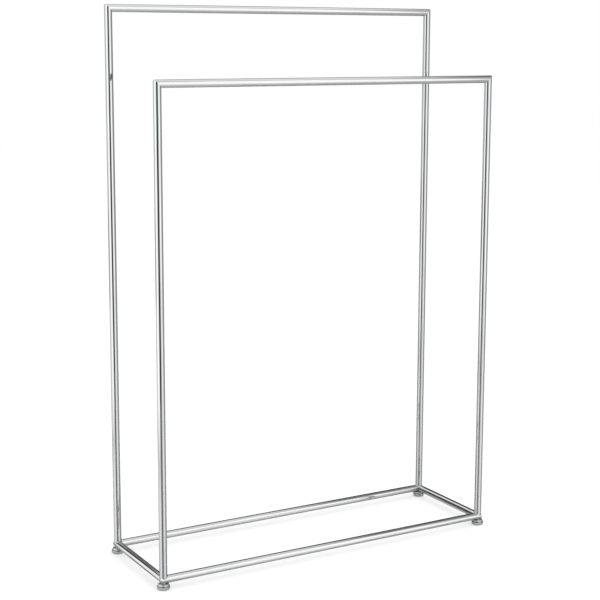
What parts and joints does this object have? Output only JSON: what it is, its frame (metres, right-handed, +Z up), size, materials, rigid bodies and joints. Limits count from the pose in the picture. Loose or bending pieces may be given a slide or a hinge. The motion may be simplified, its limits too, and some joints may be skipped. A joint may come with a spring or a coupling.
{
  "type": "freestanding towel stand",
  "caption": "Freestanding chromed tube stand that holds towels on a low front bar and a higher rear bar, with a mitred base and levelling feet.",
  "frame": {"origin": "on the floor, under the middle of the base, with the feet screwed fully in", "axes": "+Z up, +X along the towel bars to the right seen from the front, front towards -Y"},
  "size_m": [0.608, 0.196, 0.87],
  "materials": {
    "tube": "polished chrome plate",
    "bush": "plated with the frame after brazing",
    "foot": "turned and chrome plated",
    "pad": "moulded, matt"
  },
  "bodies": {
    "frame": {"base_front_rail": "tube", "base_rear_rail": "tube", "base_left_rail": "tube", "base_right_rail": "tube", "front_towel_bar": "tube", "rear_towel_bar": "tube", "front_left_post": "tube", "front_right_post": "tube", "rear_left_post": "tube", "rear_right_post": "tube", "front_left_bush": "bush", "front_right_bush": "bush", "rear_left_bush": "bush", "rear_right_bush": "bush"},
    "front_left_foot": {"front_left_foot_base": "foot", "front_left_foot_pad": "pad"},
    "front_left_spindle": {"front_left_foot_spindle": "foot"},
    "front_right_foot": {"front_right_foot_base": "foot", "front_right_foot_pad": "pad"},
    "front_right_spindle": {"front_right_foot_spindle": "foot"},
    "rear_left_foot": {"rear_left_foot_base": "foot", "rear_left_foot_pad": "pad"},
    "rear_left_spindle": {"rear_left_foot_spindle": "foot"},
    "rear_right_foot": {"rear_right_foot_base": "foot", "rear_right_foot_pad": "pad"},
    "rear_right_spindle": {"rear_right_foot_spindle": "foot"}
  },
  "joints": [
    {"name": "front_left_foot_slide", "type": "slide", "parent": "frame", "child": "front_left_foot", "axis": [0, 0, -1], "range_m": [0, 0.008]},
    {"name": "front_left_spindle_turn", "type": "hinge", "parent": "front_left_foot", "child": "front_left_spindle", "pos_m": [-0.294, -0.088, 0.009], "axis": [0, 0, -1], "range_deg": [0, 2880]},
    {"name": "front_right_foot_slide", "type": "slide", "parent": "frame", "child": "front_right_foot", "axis": [0, 0, -1], "range_m": [0, 0.008]},
    {"name": "front_right_spindle_turn", "type": "hinge", "parent": "front_right_foot", "child": "front_right_spindle", "pos_m": [0.294, -0.088, 0.009], "axis": [0, 0, -1], "range_deg": [0, 2880]},
    {"name": "rear_left_foot_slide", "type": "slide", "parent": "frame", "child": "rear_left_foot", "axis": [0, 0, -1], "range_m": [0, 0.008]},
    {"name": "rear_left_spindle_turn", "type": "hinge", "parent": "rear_left_foot", "child": "rear_left_spindle", "pos_m": [-0.294, 0.088, 0.009], "axis": [0, 0, -1], "range_deg": [0, 2880]},
    {"name": "rear_right_foot_slide", "type": "slide", "parent": "frame", "child": "rear_right_foot", "axis": [0, 0, -1], "range_m": [0, 0.008]},
    {"name": "rear_right_spindle_turn", "type": "hinge", "parent": "rear_right_foot", "child": "rear_right_spindle", "pos_m": [0.294, 0.088, 0.009], "axis": [0, 0, -1], "range_deg": [0, 2880]}
  ],
  "couplings": [
    {"joint": "front_left_spindle_turn", "follows": "front_left_foot_slide", "rad_per_m": 6283.2},
    {"joint": "front_right_spindle_turn", "follows": "front_right_foot_slide", "rad_per_m": 6283.2},
    {"joint": "rear_left_spindle_turn", "follows": "rear_left_foot_slide", "rad_per_m": 6283.2},
    {"joint": "rear_right_spindle_turn", "follows": "rear_right_foot_slide", "rad_per_m": 6283.2}
  ]
}
